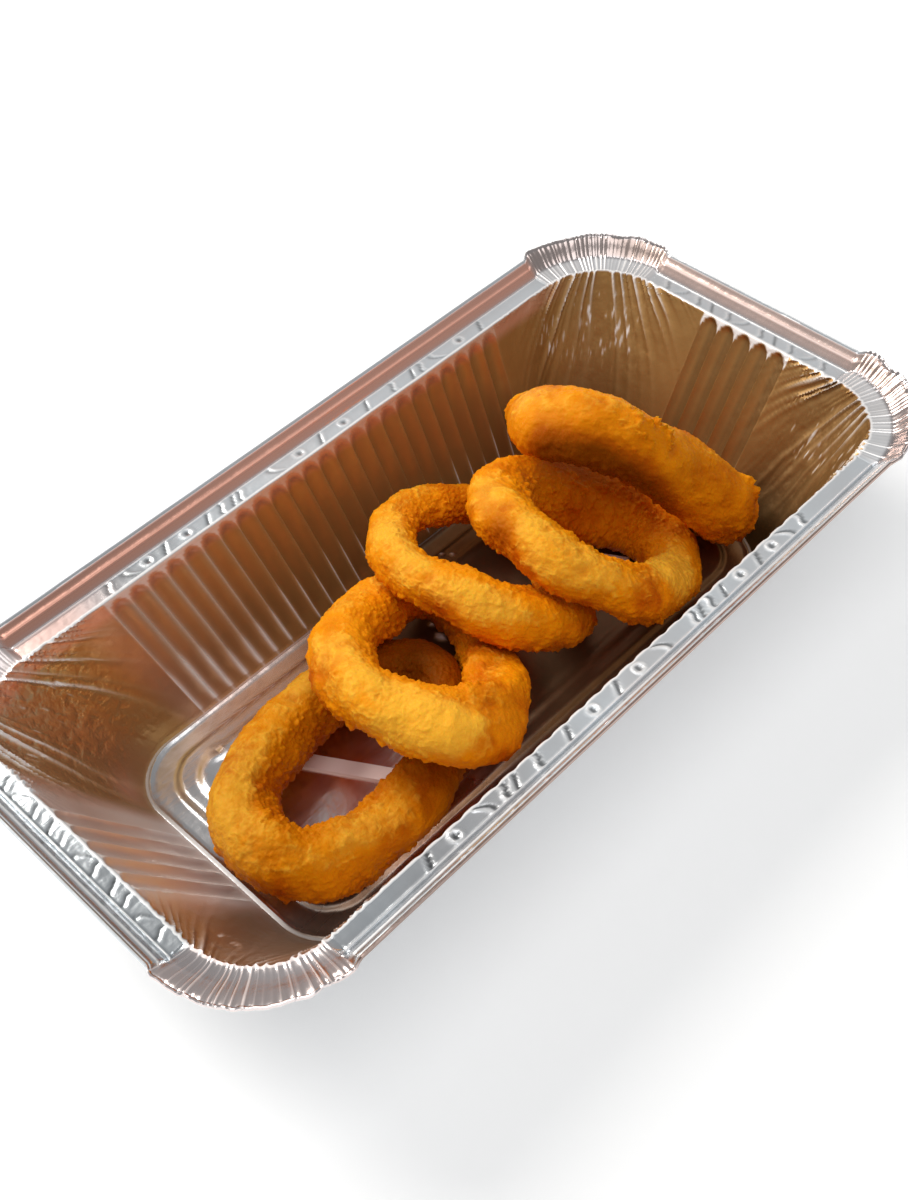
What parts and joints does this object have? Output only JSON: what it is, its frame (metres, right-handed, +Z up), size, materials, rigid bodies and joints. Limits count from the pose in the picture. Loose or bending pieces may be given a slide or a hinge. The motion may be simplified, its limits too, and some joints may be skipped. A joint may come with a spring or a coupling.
{
  "type": "onion rings side",
  "caption": "Side of crumbed fried onion rings, fallen against each other along a long fluted foil takeaway tray with a flared, bead-edged rim and pleated corners.",
  "frame": {"origin": "middle of the tray's base, on the surface that the tray stands on", "axes": "+X along the tray, from the ring that lies flat to the ring that stands steepest; +Y across the tray; +Z up"},
  "size_m": [0.2182, 0.1116, 0.0564],
  "materials": {
    "foil": "bright pressed foil, lightly crinkled",
    "crust": "crisp golden crumb crust, browned in patches, slightly oily"
  },
  "bodies": {
    "root": {"foil_tray": "foil", "onion_ring_1": "crust", "onion_ring_2": "crust", "onion_ring_3": "crust", "onion_ring_4": "crust", "onion_ring_5": "crust"}
  },
  "joints": []
}
